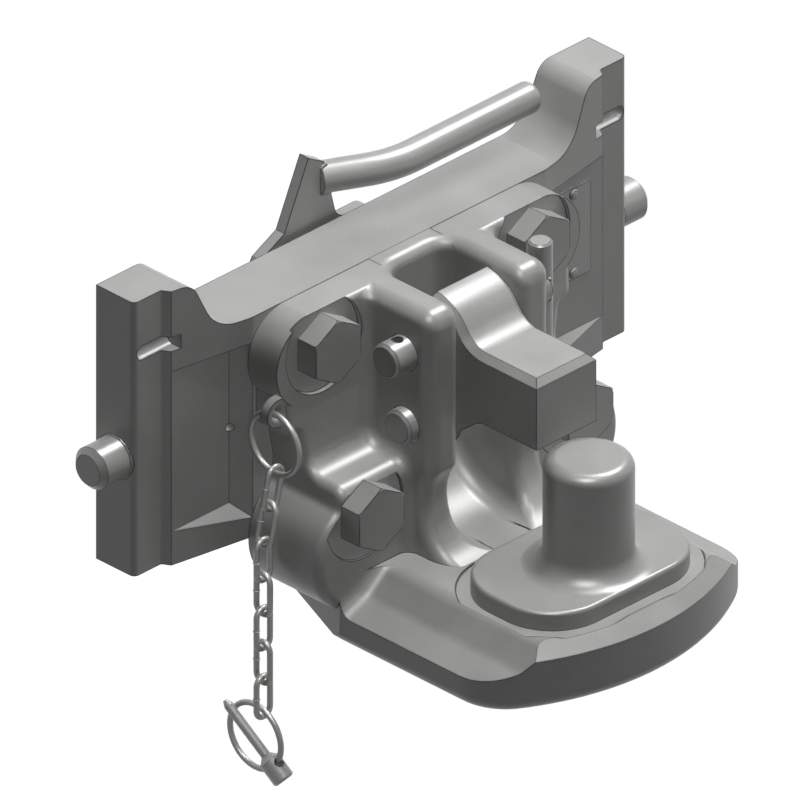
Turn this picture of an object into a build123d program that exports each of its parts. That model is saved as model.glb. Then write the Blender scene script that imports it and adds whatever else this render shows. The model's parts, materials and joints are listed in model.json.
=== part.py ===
from build123d import *
import os
from math import asin, cos, hypot, pi, radians, sin, sqrt, tan

# Pintle hook on a slide plate, in millimetres.
# The hook faces -Y. +X is to the right of someone who looks at its front, and +Z is up.
# The origin is the middle of the slide plate's flat rear face.
# "Forward" below is the distance in front of that rear face, so forward = -y.

# Slide plate
plate_width = 330.0
plate_height = 150.0
rail_thickness = 25.6
rail_width = 18.0
rail_edge_radius = 3.0
step_forward = 30.0
step_run = 2.5
seat_forward = 38.0
seat_half = 98.0
valley_depth = 29.7
valley_half = 118.7
post_wall_angle = 65.0
post_top_radius = 10.0
valley_radius = 20.0
pocket_bottom = 18.7
pocket_top = 106.0
grease_groove_radius = 3.8
grease_groove_height = 121.0
ramp_hole_radius = 2.0
ramp_hole_height = 60.0

# Side locking pins, which hold the plate at a height between the rails
side_pin_radius = 11.0
side_pin_shank_radius = 8.0
side_pin_height = 61.0
side_pin_reach = 18.5
side_pin_chamfer = 3.0
side_pin_collar_radius = 11.5
side_pin_collar_proud = 0.3
side_pin_shoulder = 125.0
side_pin_inner_end = 38.0
side_pin_guide = 75.0
side_bore_depth = 147.0
side_pin_travel = 19.0
fit = 0.2
spring_wire = 2.4
spring_turns = 7

# Cam lever behind the plate, with the lift handle
lever_turn = 27.0
lever_gap = 3.5
lever_thickness = 6.0
lever_half = 64.0
lever_drop = 40.0
lever_neck_height = 117.0
lever_tip_height = 158.0
lever_corner_radius = 8.0
stud_radius = 5.0
stud_head_radius = 8.0
stud_head_height = 3.0
stud_rest = 48.0
pivot_radius = 10.0
pivot_thread_radius = 8.0
pivot_thread_depth = 22.0
pivot_washer_radius = 19.0
pivot_washer_thickness = 3.0
pivot_head_flats = 24.0
pivot_head_height = 10.0
handle_radius = 8.0
handle_height = 142.0
handle_left = -9.0
handle_right = 117.0
handle_forward = 10.0
handle_bend = 27.0
handle_bend_radius = 57.0

# Mounting bolts between the casting and the plate
bolt_half_pitch = 70.0
bolt_rise = 80.0
lower_bolt_height = 21.5
bolt_radius = 10.0
bolt_hole_radius = 11.0
bolt_flats = 30.0
bolt_head_height = 12.5
upper_bolt_length = 50.0
lower_bolt_length = 80.0
spot_radius = 25.0
hex_corner_cut = 1.2

# Hook casting: flange
flange_forward = 57.0
upper_spot_forward = 55.0
lobe_forward = 85.0
lower_spot_forward = 84.0
ear_radius = 24.0
ear_half = 77.5
flange_side = 96.0
flange_side_bottom = 60.0
waist_top_half = 88.5
waist_bottom_half = 84.5
waist_bottom = 40.0
waist_radius = 15.0
ear_corner_radius = 5.0
waist_corner_radius = 2.0
lobe_radius = 31.0
ledge_height = 38.0
ledge_wall_top = 71.0
ledge_wall_forward = 60.4
ledge_radius = 11.0
ledge_edge_radius = 8.0
flange_edge_radius = 3.0

# Hook casting: cheeks, slot and legs
slot_half = 20.5
cheek_half = 41.0
cheek_setback = 22.7
slot_rear_forward = 48.0
slot_corner_radius = 10.0
cheek_edge_radius = 7.5
slot_edge_radius = 6.0
root_radius = 7.0
lobe_edge_radius = 5.0
slot_sweep_radius = 46.5
slot_sweep_height = 35.5
throat_radius = 28.5
throat_forward = 122.5
throat_height = 16.5
cheek_foot_depth = 8.0
cheek_corner_radius = 9.0

# Hook casting: hook plate
hook_half = 87.0
hook_side_end = 165.0
hook_corner_radius = 31.3
hook_reach = 212.0
plateau_drop = 11.0
plateau_half = 58.0
wing_foot_half = 72.0
wing_foot_drop = 22.5
wing_lip_drop = 28.5
wing_rear_radius = 8.0
hook_bottom_drop = 45.0
hook_bottom_radius = 8.0
front_lip_run = 9.0
front_lip_drop = 17.5
wing_inset = 15.0
wing_overrun = 13.0
wing_crest_radius = 11.0
wing_foot_radius = 14.0
hook_rear_step = 4.0
hook_heel_run = 12.0
hook_heel_drop = 3.0

# Towing pin with its pad, and the washer and nut sunk into the bottom of the hook plate
hitch_forward = 165.0
hitch_pin_radius = 22.0
hitch_pin_top = 56.0
hitch_top_radius = 6.0
hitch_foot_radius = 10.5
pad_half = 55.0
pad_rear_forward = 123.0
pad_front_forward = 195.5
pad_corner_radius = 30.0
pad_top_drop = 2.2
pad_seat_margin = 7.0
pad_seat_depth = 1.0
shank_radius = 16.0
thread_radius = 13.5
hitch_washer_radius = 25.0
hitch_washer_thickness = 4.0
hitch_nut_flats = 41.0
hitch_nut_height = 14.0
nut_recess_radius = 28.0
nut_recess_depth = 19.5

# Hold-down between the cheeks, and the fork of two pins that locks it
hold_down_half = 20.0
upper_pin_forward = 82.0
upper_pin_height = 95.5
lower_pin_forward = 83.0
lower_pin_height = 56.7
fork_pin_radius = 9.0
fork_bore_radius = 9.25
upper_pin_left = -54.0
lower_pin_left = -47.0
fork_bar_x = 50.0
fork_bar_forward = 82.5
fork_bar_radius = 6.0
fork_bar_top = 120.0
fork_bar_bottom = 47.0
linch_hole_x = -45.3
linch_hole_radius = 2.75
head_forward = 77.0
head_height = 91.5
head_radius = 27.0
neck_radius = 16.5
nose_top = 98.0
nose_bottom = 61.0
nose_forward = 150.0
nose_chamfer = 3.5
nose_root_forward = 112.0
nose_web_run = 13.0
nose_web_drop = 10.0
eye_radius = 17.5

# Ring, chain and linch pin. chain_wire is the radius of the round wire of all of them.
lug_half_x = bolt_half_pitch + lobe_radius
lug_height = 77.0
lug_forward = 56.0
lug_thickness = 5.0
lug_radius = 7.5
lug_hole_radius = 3.2
lug_hole_rounding = 2.3
chain_wire = 1.5
hang_gap = 0.3
ring_radius = 16.0
link_pitch = 18.7
link_half_width = 4.5
chain_gap = 2.0
link_count = 7
leaning_links = 2
chain_x = lug_half_x + link_half_width + chain_wire + chain_gap
linch_ring_radius = 17.0
linch_ring_lean = 22.3
linch_head_angle = 43.4
linch_shank_radius = 2.4
linch_shank_length = 39.0
linch_head_radius = 5.5
linch_head_over = 8.5
linch_head_under = 3.5
linch_hole = 2.7

# Name plate
name_plate_x = 124.0
name_plate_height = 72.0
name_plate_width = 23.0
name_plate_margin = 3.5
name_plate_corner_radius = 2.0
name_plate_thickness = 1.0
rivet_radius = 1.6
rivet_spacing = 43.0
name_plate_length = rivet_spacing + 2 * name_plate_margin
rivet_depth = 4.0
rivet_head_height = 1.5

# Planes: FRONT shows (x, z), SIDE shows (forward, z), PLAN shows (x, forward) and grows downward
FRONT = Plane.XZ
SIDE = Plane(origin=(0, 0, 0), x_dir=(0, -1, 0), z_dir=(-1, 0, 0))
PLAN = Plane(origin=(0, 0, 0), x_dir=(1, 0, 0), z_dir=(0, 0, -1))
half_height = plate_height / 2
plateau_z = -plateau_drop - half_height


def level(height):
    """z of a height above the bottom of the plate."""
    return height - half_height


def at(x, forward, height):
    """Point from x, the distance forward and the height above the plate's bottom."""
    return (x, -forward, level(height))


def round_bar(start, end, radius):
    """Round bar from one point to another."""
    axis = Vector(*end) - Vector(*start)
    seat = Plane(origin=start, z_dir=axis.normalized())
    return seat * Cylinder(radius, axis.length, align=(Align.CENTER, Align.CENTER, Align.MIN))


def turned(profile, start, direction):
    """Solid of revolution from (radius, distance along the axis) points."""
    points = [(radius, 0, along) for radius, along in profile]
    return Plane(origin=start, z_dir=direction) * revolve(make_face(Polyline(points, close=True)), Axis.Z)


def polygon(points):
    return make_face(Polyline(points, close=True))


def rounded(face, point, radius):
    """Face with its corner at the given point rounded."""
    corners = [v for v in face.vertices() if hypot(v.X - point[0], v.Y - point[1]) < 0.05]
    return fillet(corners, radius)


def mirrored(points):
    """Outline symmetric about x = 0 from the points of its right half, top to bottom."""
    return points + [(-x, y) for x, y in reversed(points)]


def both_sides(shape):
    return shape + mirror(shape, Plane.YZ)


def hex_prism(flats, start, direction, height, x_dir=(1, 0, 0)):
    """Hexagonal prism with the tips of its outer corners turned off at 30 degrees."""
    seat = Plane(origin=start, x_dir=x_dir, z_dir=direction)
    prism = extrude(seat * RegularPolygon(flats / 2, 6, major_radius=False, rotation=30), amount=height)
    corner = flats / sqrt(3)
    drop = (hex_corner_cut + 1) * tan(radians(30))
    outline = [(0, -1), (corner + 1, -1), (corner + 1, height - drop)]
    outline += [(corner - hex_corner_cut, height), (0, height)]
    return prism & turned(outline, start, direction)


def plate_outline():
    """Front view of the plate: two posts with the valley between them."""
    wall_run = valley_depth / tan(radians(post_wall_angle))
    post_half = valley_half + wall_run
    floor = half_height - valley_depth
    right = [(valley_half, floor), (post_half, half_height), (plate_width / 2, half_height)]
    right += [(plate_width / 2, -half_height)]
    face = polygon([(-x, z) for x, z in reversed(right)] + right)
    for side in (-1, 1):
        face = rounded(face, (side * post_half, half_height), post_top_radius)
        face = rounded(face, (side * valley_half, floor), valley_radius)
    return face


def plate_plan():
    """Plan of the plate: thin rails, a step, and a slope up to the seat of the casting."""
    step_x = plate_width / 2 - rail_width
    right = [(plate_width / 2, 0), (plate_width / 2, rail_thickness), (step_x, rail_thickness)]
    right += [(step_x - step_run, step_forward), (seat_half, seat_forward)]
    face = polygon(mirrored(right))
    for side in (-1, 1):
        face = rounded(face, (side * plate_width / 2, rail_thickness), rail_edge_radius)
        face = rounded(face, (side * step_x, rail_thickness), rail_edge_radius / 2)
    return face


def plate_pocket():
    """Sunk field between the rail and the seat, with sloping bottom and inner sides."""
    over = seat_forward + 4
    rise = over - step_forward
    section = polygon([
        (step_forward, level(pocket_bottom)),
        (over, level(pocket_bottom) - rise),
        (over, level(pocket_top)),
        (step_forward, level(pocket_top)),
    ])
    plan = polygon([
        (seat_half + seat_forward - step_forward, step_forward),
        (seat_half - over + seat_forward, over),
        (plate_width / 2 - rail_width, over),
        (plate_width / 2 - rail_width, step_forward),
    ])
    along = extrude(SIDE * section, amount=plate_width / 2, both=True)
    return along & extrude(PLAN * plan, amount=half_height, both=True)


def grease_groove():
    """Half-round groove across the rail, cut on through the step beside it."""
    start_x = plate_width / 2 - 2 - grease_groove_radius
    end_x = plate_width / 2 - rail_width - 8
    start = at(start_x, rail_thickness, grease_groove_height)
    end = at(end_x, rail_thickness, grease_groove_height)
    depth = seat_forward - rail_thickness
    groove = round_bar(start, end, grease_groove_radius) + Pos(*start) * Sphere(grease_groove_radius)
    middle = at((start_x + end_x) / 2, rail_thickness + depth / 2, grease_groove_height)
    return groove + Pos(*middle) * Box(start_x - end_x, depth, 2 * grease_groove_radius)


def side_pin_bore():
    """Stepped bore of the right side pin, and the rear slot in which its stud travels."""
    axis = rail_thickness / 2
    shoulder = at(side_pin_guide, axis, side_pin_height)
    wide = round_bar(shoulder, at(plate_width / 2 + 1, axis, side_pin_height), side_pin_collar_radius + fit / 2)
    end = at(plate_width / 2 - side_bore_depth, axis, side_pin_height)
    narrow = round_bar(end, shoulder, side_pin_shank_radius + fit / 2)
    return wide + narrow + stud_slot()


def stud_slot():
    width = 2 * stud_radius + 2 * fit
    inner = stud_rest - side_pin_travel
    middle = at((inner + stud_rest) / 2, rail_thickness / 4, side_pin_height)
    slot = Pos(*middle) * Box(stud_rest - inner, rail_thickness / 2, width)
    for x in (inner, stud_rest):
        slot += round_bar(at(x, 0, side_pin_height), at(x, rail_thickness / 2, side_pin_height), width / 2)
    return slot


def bolt_places():
    """Centre and spot-face forward distance of each mounting bolt."""
    places = []
    for side in (-1, 1):
        places.append((side * bolt_half_pitch, lower_bolt_height, lower_spot_forward, lower_bolt_length))
        upper_height = lower_bolt_height + bolt_rise
        places.append((side * bolt_half_pitch, upper_height, upper_spot_forward, upper_bolt_length))
    return places


def rivet_places():
    for side in (-1, 1):
        yield at(name_plate_x, step_forward, name_plate_height + side * rivet_spacing / 2)


def slide_plate():
    body = extrude(FRONT * plate_outline(), amount=seat_forward)
    body &= extrude(PLAN * plate_plan(), amount=half_height, both=True)
    body -= both_sides(plate_pocket())
    body -= both_sides(grease_groove())
    body -= both_sides(side_pin_bore())
    crease = seat_half + seat_forward - step_forward
    ramp_hole = at(-crease, step_forward / 2, ramp_hole_height), at(-crease, seat_forward, ramp_hole_height)
    body -= round_bar(*ramp_hole, ramp_hole_radius)
    thread = at(0, 0, side_pin_height)
    body -= round_bar(thread, at(0, pivot_thread_depth + 1, side_pin_height), pivot_thread_radius)
    for x, height, spot, length in bolt_places():
        body -= round_bar(at(x, spot - length, height), at(x, seat_forward + 1, height), bolt_radius)
    for x, y, z in rivet_places():
        body -= round_bar((x, y + rivet_depth, z), (x, y, z), rivet_radius)
    return body


def side_pin(side):
    """Round locking pin: free end, thicker collar that the plate guides, thin shank inside the spring."""
    length = plate_width / 2 + side_pin_reach - side_pin_inner_end
    shoulder = side_pin_shoulder - side_pin_inner_end
    collar_end = plate_width / 2 + side_pin_collar_proud - side_pin_inner_end
    free_start = collar_end + side_pin_collar_radius - side_pin_radius
    profile = [(0, 0), (side_pin_shank_radius, 0), (side_pin_shank_radius, shoulder)]
    profile += [(side_pin_collar_radius, shoulder), (side_pin_collar_radius, collar_end)]
    profile += [(side_pin_radius, free_start), (side_pin_radius, length - side_pin_chamfer)]
    profile += [(side_pin_radius - side_pin_chamfer, length), (0, length)]
    start = at(side * side_pin_inner_end, rail_thickness / 2, side_pin_height)
    return turned(profile, start, (side, 0, 0)) - cam_stud(side)


def cam_stud(side):
    """Headed stud that passes from the pin through the plate's slot and the lever's cam slot."""
    tip = rail_thickness / 2 + side_pin_shank_radius - 3
    reach = lever_gap + lever_thickness + fit
    start = at(side * stud_rest, tip, side_pin_height)
    profile = [(0, 0), (stud_radius, 0), (stud_radius, tip + reach), (stud_head_radius, tip + reach)]
    profile += [(stud_head_radius, tip + reach + stud_head_height), (0, tip + reach + stud_head_height)]
    return turned(profile, start, (0, 1, 0))


def pin_spring(side):
    """Compression spring that pushes the side pin outward."""
    length = side_pin_shoulder - side_pin_guide - spring_wire
    middle = (side_pin_shank_radius + side_pin_radius) / 2
    start = at(side * (side_pin_guide + spring_wire / 2), rail_thickness / 2, side_pin_height)
    helix = Helix(length / spring_turns, length, middle)
    half = spring_wire / 2
    seat = Plane(origin=helix @ 0, x_dir=(1, 0, 0), z_dir=helix % 0)
    coil = sweep(seat * Rectangle(2 * half * 0.9, 2 * half), path=helix, is_frenet=True)
    return Plane(origin=start, z_dir=(side, 0, 0)) * coil


def cam_slot_path(side):
    """Spiral whose radius falls evenly with the lever's turn, so the pin moves in step with it."""
    steps = 6
    points = []
    for i in range(steps + 1):
        share = i / steps
        angle = -radians(lever_turn * share) + (pi if side < 0 else 0)
        radius = stud_rest - side_pin_travel * share
        points.append((radius * cos(angle), level(side_pin_height) + radius * sin(angle)))
    return points


def cam_slot(side, width):
    """Spiral slot, as the area that a disc sweeps along the spiral."""
    path = cam_slot_path(side)
    spine = Spline(*path)
    left = [spine.position_at(i / 8) + spine.tangent_at(i / 8).rotate(Axis.Z, 90) * width / 2 for i in range(9)]
    right = [spine.position_at(i / 8) - spine.tangent_at(i / 8).rotate(Axis.Z, 90) * width / 2 for i in range(9)]
    edges = [Spline(*left), Line(left[-1], right[-1]), Spline(*right), Line(right[0], left[0])]
    face = make_face(edges)
    for end in (path[0], path[-1]):
        face += Pos(end[0], end[1]) * Circle(width / 2)
    return face


def lever_outline():
    """Hub plate of the lever, and the arm that rises to the handle."""
    hub = level(side_pin_height)
    neck = level(lever_neck_height)
    half = lever_half
    drop = lever_drop
    tip = (-0.3 * half, level(lever_tip_height))
    tip_front = (-0.14 * half, level(lever_tip_height - lever_thickness))
    inner_corner = (0, neck)
    shoulder = (0.3 * half, neck)
    right = [(0.7 * half, hub + 0.85 * drop), (0.97 * half, hub + 0.35 * drop), (0.97 * half, hub - 0.4 * drop)]
    bottom = [(0.6 * half, hub - 0.9 * drop), (0, hub - drop), (-0.6 * half, hub - 0.85 * drop)]
    left = [(-half, hub - 0.4 * drop), (-1.03 * half, hub + 0.75 * drop)]
    arm = [(-0.8 * half, neck - 2), (-0.55 * half, neck + lever_thickness)]
    face = polygon([tip, tip_front, inner_corner, shoulder] + right + bottom + left + arm)
    for corner in (inner_corner, shoulder, right[1], right[2], bottom[0], bottom[2], left[0], left[1]):
        face = rounded(face, corner, lever_corner_radius)
    return face


def cam_lever():
    slots = cam_slot(-1, 2 * stud_radius + fit) + cam_slot(1, 2 * stud_radius + fit)
    hole = Pos(0, level(side_pin_height)) * Circle(pivot_radius + fit / 2)
    rear = Plane(origin=(0, lever_gap + lever_thickness, 0), x_dir=(1, 0, 0), z_dir=(0, -1, 0))
    return extrude(rear * (lever_outline() - slots - hole), amount=lever_thickness)


def handle_rod():
    """Bent round handle, notched over the edge of the lever's arm."""
    start_y = lever_gap + lever_thickness / 2
    run = (start_y + handle_forward) / tan(radians(handle_bend))
    z = level(handle_height)
    start = (handle_left, start_y, z)
    corner = (handle_left + run, -handle_forward, z)
    path = FilletPolyline(start, corner, (handle_right, -handle_forward, z), radius=handle_bend_radius)
    rod = sweep(Plane(origin=path @ 0, z_dir=path % 0) * Circle(handle_radius), path=path)
    end = rod.edges().group_by(Axis.X)[-1]
    rod = fillet(end, handle_radius * 0.4)
    arm = Plane(origin=(0, lever_gap + lever_thickness, 0), x_dir=(1, 0, 0), z_dir=(0, -1, 0))
    return rod - extrude(arm * lever_outline(), amount=lever_thickness)


def lever_spacer():
    ring = [(pivot_radius + fit / 2, 0), (pivot_washer_radius, 0), (pivot_washer_radius, lever_gap - fit / 2)]
    ring += [(pivot_radius + fit / 2, lever_gap - fit / 2)]
    return turned(ring, at(0, 0, side_pin_height), (0, 1, 0))


def lever_washer():
    start = lever_gap + lever_thickness + fit
    ring = [(pivot_thread_radius + fit, 0), (pivot_washer_radius, 0)]
    ring += [(pivot_washer_radius, pivot_washer_thickness), (pivot_thread_radius + fit, pivot_washer_thickness)]
    return turned(ring, at(0, -start, side_pin_height), (0, 1, 0))


def lever_pivot_bolt():
    """Shoulder bolt screwed into the plate from the rear."""
    shoulder = lever_gap + lever_thickness + fit
    head = shoulder + pivot_washer_thickness
    profile = [(0, -pivot_thread_depth), (pivot_thread_radius, -pivot_thread_depth), (pivot_thread_radius, 0)]
    profile += [(pivot_radius, 0), (pivot_radius, shoulder), (pivot_thread_radius, shoulder)]
    profile += [(pivot_thread_radius, head), (0, head)]
    shank = turned(profile, at(0, 0, side_pin_height), (0, 1, 0))
    return shank + hex_prism(pivot_head_flats, at(0, -head, side_pin_height), (0, 1, 0), pivot_head_height)


def mounting_bolt(x, height, spot, length):
    shank = round_bar(at(x, spot - length, height), at(x, spot, height), bolt_radius)
    return shank + hex_prism(bolt_flats, at(x, spot, height), (0, -1, 0), bolt_head_height)


def mounting_bolts(row):
    """The two bolts of the upper or the lower row."""
    places = [place for place in bolt_places() if (place[2] == upper_spot_forward) == (row == "upper")]
    return Compound([mounting_bolt(*place).solid() for place in places])


def flange_outline():
    """Front view of the bolting flange: two ears, a waist and two round lobes."""
    top = half_height - valley_depth
    ear = Vector(ear_half, top - ear_radius)
    ear_end = Vector(flange_side, ear.Y - sqrt(ear_radius ** 2 - (flange_side - ear_half) ** 2))
    ear_middle = ear + Vector(ear_radius, 0).rotate(Axis.Z, 25)
    lobe = Vector(bolt_half_pitch, level(0))
    lobe_start = lobe + Vector(lobe_radius, 0).rotate(Axis.Z, 60)
    bottom = lobe.Y - lobe_radius
    edges = [
        Line((0, top), (ear_half, top)),
        ThreePointArc((ear_half, top), ear_middle, ear_end),
        Polyline(
            ear_end,
            (flange_side, level(flange_side_bottom)),
            (waist_top_half, level(flange_side_bottom)),
            (waist_bottom_half, level(waist_bottom)),
            lobe_start,
        ),
        ThreePointArc(lobe_start, lobe + Vector(lobe_radius, 0), (bolt_half_pitch, bottom)),
        Polyline((bolt_half_pitch, bottom), (0, bottom), (0, top)),
    ]
    half = make_face(edges)
    half = rounded(half, (flange_side, level(flange_side_bottom)), ear_corner_radius)
    half = rounded(half, (waist_top_half, level(flange_side_bottom)), waist_corner_radius)
    half = rounded(half, (waist_bottom_half, level(waist_bottom)), waist_radius)
    return both_sides(half)


def flange():
    top = half_height - valley_depth
    foot = ledge_wall_forward, level(ledge_height)
    edge = lobe_forward, level(ledge_height)
    section = polygon([
        (seat_forward, top), (flange_forward, top), (flange_forward + 1, level(ledge_wall_top)), foot, edge,
        (lobe_forward, level(-2 * lobe_radius)), (seat_forward, level(-2 * lobe_radius)),
    ])
    section = rounded(section, foot, ledge_radius)
    section = rounded(section, edge, ledge_edge_radius)
    section = rounded(section, (flange_forward, top), flange_edge_radius)
    body = extrude(SIDE * section, amount=plate_width / 2, both=True)
    body &= extrude(FRONT * flange_outline(), amount=2 * lobe_forward)
    lobe_rim = edges_where(
        body, lambda x, forward, height: x > 80 and ledge_wall_forward - 0.4 < forward and height < waist_bottom
    )
    return fillet(lobe_rim, lobe_edge_radius)


def cheek_forward():
    """Forward distance of the cheeks' front, set back from the throat's centre."""
    return throat_forward - cheek_setback


def throat_reach(height):
    """Forward distance of the throat's round rear wall at a height."""
    return throat_forward - sqrt(throat_radius ** 2 - (height - throat_height) ** 2)


def cheek_block():
    """Both cheeks and legs as one block: nose above, round throat below."""
    top = half_height - valley_depth
    front = cheek_forward()
    nose_height = throat_height + sqrt(throat_radius ** 2 - cheek_setback ** 2)
    foot = throat_reach(-plateau_drop)
    arc = ThreePointArc(
        (front, level(nose_height)),
        (throat_forward - throat_radius, level(throat_height)),
        (foot, plateau_z),
    )
    frame = Polyline(
        (foot, plateau_z), (foot, plateau_z - cheek_foot_depth), (seat_forward, plateau_z - cheek_foot_depth),
        (seat_forward, top), (front, top), (front, level(nose_height)),
    )
    section = make_face([arc, frame])
    section = rounded(section, (front, level(nose_height)), cheek_corner_radius)
    section = rounded(section, (front, top), cheek_corner_radius)
    return extrude(SIDE * section, amount=cheek_half, both=True)


def slot_cutter():
    """Slot between the cheeks, which sweeps down into the throat floor."""
    over = half_height
    sweep_forward = slot_rear_forward + slot_sweep_radius
    arc = ThreePointArc(
        (slot_rear_forward, level(slot_sweep_height)),
        (
            sweep_forward - slot_sweep_radius * cos(pi / 4),
            level(slot_sweep_height - slot_sweep_radius * sin(pi / 4)),
        ),
        (sweep_forward, level(slot_sweep_height - slot_sweep_radius)),
    )
    frame = Polyline(
        (sweep_forward, level(slot_sweep_height - slot_sweep_radius)),
        (hook_reach, level(slot_sweep_height - slot_sweep_radius)),
        (hook_reach, over), (slot_rear_forward, over), (slot_rear_forward, level(slot_sweep_height)),
    )
    cutter = extrude(SIDE * make_face([arc, frame]), amount=slot_half, both=True)
    rear = [e for e in cutter.edges().filter_by(Axis.Z) if abs(e.center().Y + slot_rear_forward) < 0.1]
    curve = [e for e in cutter.edges().filter_by(GeomType.CIRCLE)]
    return fillet(rear + curve, slot_corner_radius)


def hook_plan():
    """Plan of the hook plate: straight sides, round corners and an arched front edge."""
    corner = Vector(hook_half - hook_corner_radius, hook_side_end)
    rise = hook_reach - hook_side_end
    front_radius = (corner.X ** 2 + rise ** 2 - hook_corner_radius ** 2) / (2 * (rise - hook_corner_radius))
    front = Vector(0, hook_reach - front_radius)
    touch = front + (corner - front).normalized() * front_radius
    corner_middle = corner + Vector(hook_corner_radius, 0).rotate(Axis.Z, 30)
    rear_half = bolt_half_pitch + hook_rear_step
    edges = [
        Polyline((0, hook_reach), (0, seat_forward), (rear_half, seat_forward),
                 (hook_half, lobe_forward), (hook_half, hook_side_end)),
        ThreePointArc((hook_half, hook_side_end), corner_middle, touch),
        ThreePointArc(touch, front + Vector(0, front_radius).rotate(Axis.Z, -10), (0, hook_reach)),
    ]
    return make_face(edges), front, front_radius


def wing_cutter():
    """Hollow along the right edge of the hook plate, faired into the lobe behind it."""
    foot = wing_foot_half, level(-wing_foot_drop)
    lip_slope = (wing_lip_drop - wing_foot_drop) / (hook_half - wing_foot_half)
    inner = plateau_half - wing_inset
    out = hook_half + wing_overrun
    section = polygon([
        (inner, plateau_z), (plateau_half, plateau_z), foot,
        (out, level(-wing_lip_drop - lip_slope * wing_overrun)), (out, level(0)), (inner, level(0)),
    ])
    section = rounded(section, (plateau_half, plateau_z), wing_crest_radius)
    section = rounded(section, foot, wing_foot_radius)
    cutter = Pos(0, -lobe_forward, 0) * extrude(FRONT * section, amount=hook_reach)
    rear = cutter.faces().sort_by(Axis.Y)[-1]
    low = [e for e in rear.edges() if e.center().Z < plateau_z + 0.01]
    return fillet(low, wing_rear_radius)


def hook_plate():
    plan, front, front_radius = hook_plan()
    plan = both_sides(plan)
    top = Plane(origin=(0, 0, plateau_z), x_dir=(1, 0, 0), z_dir=(0, 0, -1))
    plate = extrude(top * plan, amount=hook_bottom_drop - plateau_drop)
    bottom_edges = plate.edges().group_by(Axis.Z)[0]
    rim = [e for e in bottom_edges if e.center().Y < -lobe_forward - 1]
    plate = fillet(rim, hook_bottom_radius)
    section = polygon([
        (seat_forward, plateau_z), (hook_reach + 1, plateau_z), (hook_reach + 1, level(-hook_bottom_drop)),
        (lobe_forward + hook_heel_run, level(-hook_bottom_drop)),
        (seat_forward, level(-lobe_radius - hook_heel_drop)),
    ])
    plate &= extrude(SIDE * section, amount=hook_half, both=True)
    plate -= both_sides(wing_cutter())
    lip = polygon([
        (front_radius - front_lip_run, 0), (front_radius + 1, 0),
        (front_radius + 1, -(front_lip_drop - plateau_drop) * (1 + 1 / front_lip_run)),
    ])
    ring = revolve(Plane.XZ * lip, Axis.Z)
    return plate - Pos(0, -front.Y, plateau_z) * ring


def edges_where(shape, test):
    """Edges whose middle passes the test, which takes |x|, forward and height."""
    found = []
    for edge in shape.edges():
        middle = edge.center()
        if test(abs(middle.X), -middle.Y, middle.Z + half_height):
            found.append(edge)
    return found


def cheeks():
    """The two cheeks and legs with the slot between them and their edges rounded."""
    top = plate_height - valley_depth
    block = cheek_block() - slot_cutter()
    outer = edges_where(
        block, lambda x, forward, height: abs(x - cheek_half) < 0.01 and height > 0 and forward > seat_forward + 5
    )
    block = fillet(outer, cheek_edge_radius)
    inner = edges_where(
        block,
        lambda x, forward, height: forward > seat_forward + 5 and (
            (abs(x - slot_half) < 0.01 and height > slot_sweep_height + 1)
            or (x < slot_half + 0.1 and abs(height - top) < 0.01)
        ),
    )
    return fillet(inner, slot_edge_radius)


def ring_lug():
    """Drilled ear, welded to the left side of the flange for the chain's ring."""
    top_forward = lug_forward + lug_thickness / 2
    outer = Pos(-lug_half_x, level(lug_height)) * Circle(lug_radius)
    root = Pos((-lug_half_x - waist_top_half) / 2, level(lug_height))
    outer += root * Rectangle(lug_half_x - waist_top_half, 2 * lug_radius)
    outer -= flange_outline()
    lug = Pos(0, -top_forward + lug_thickness, 0) * extrude(FRONT * outer, amount=lug_thickness)
    lug -= round_bar(
        at(-lug_half_x, seat_forward, lug_height), at(-lug_half_x, top_forward + 5, lug_height), lug_hole_radius
    )
    rim = [e for e in lug.edges().filter_by(GeomType.CIRCLE) if abs(e.radius - lug_hole_radius) < 0.01]
    return fillet(rim, lug_hole_rounding)


def slab(x_low, x_high, z_low, z_high):
    """Block that covers a range of x and z over the whole depth of the casting."""
    middle = ((x_low + x_high) / 2, -hook_reach / 2, (z_low + z_high) / 2)
    return Pos(*middle) * Box(x_high - x_low, 2 * hook_reach, z_high - z_low)


def hook_casting():
    half = (slot_half + cheek_half) / 2
    body = flange() - slab(-half, half, plateau_z, half_height) + cheeks() + hook_plate()
    body -= slot_cutter()
    roots = edges_where(
        body,
        lambda x, forward, height: abs(x - cheek_half) < 0.1 and (
            (abs(forward - flange_forward - 1) < 1.5 and ledge_height < height < plate_height - valley_depth - 2)
            or (flange_forward + 3 < forward < lobe_forward + 0.5 and 0 < height < ledge_height + 5)
            or (abs(forward - lobe_forward) < 0.3 and -plateau_drop < height < 5)
        ),
    )
    body = fillet(roots, root_radius)
    for x, height, spot, length in bolt_places():
        body -= round_bar(at(x, spot, height), at(x, spot + spot_radius, height), spot_radius)
        body -= round_bar(at(x, seat_forward - 1, height), at(x, spot + 1, height), bolt_hole_radius)
    for forward, height in ((upper_pin_forward, upper_pin_height), (lower_pin_forward, lower_pin_height)):
        ends = at(-cheek_half - 5, forward, height), at(cheek_half + 5, forward, height)
        body -= round_bar(*ends, fork_bore_radius)
    bottom = at(0, hitch_forward, -hook_bottom_drop - 1)
    body -= round_bar(at(0, hitch_forward, -plateau_drop + 1), bottom, shank_radius)
    body -= round_bar(at(0, hitch_forward, nut_recess_height()), bottom, nut_recess_radius)
    seat = Plane(origin=(0, 0, plateau_z - pad_seat_depth), x_dir=(1, 0, 0), z_dir=(0, 0, -1))
    return body - extrude(seat * pad_outline(pad_seat_margin), amount=-plateau_drop)


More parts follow.
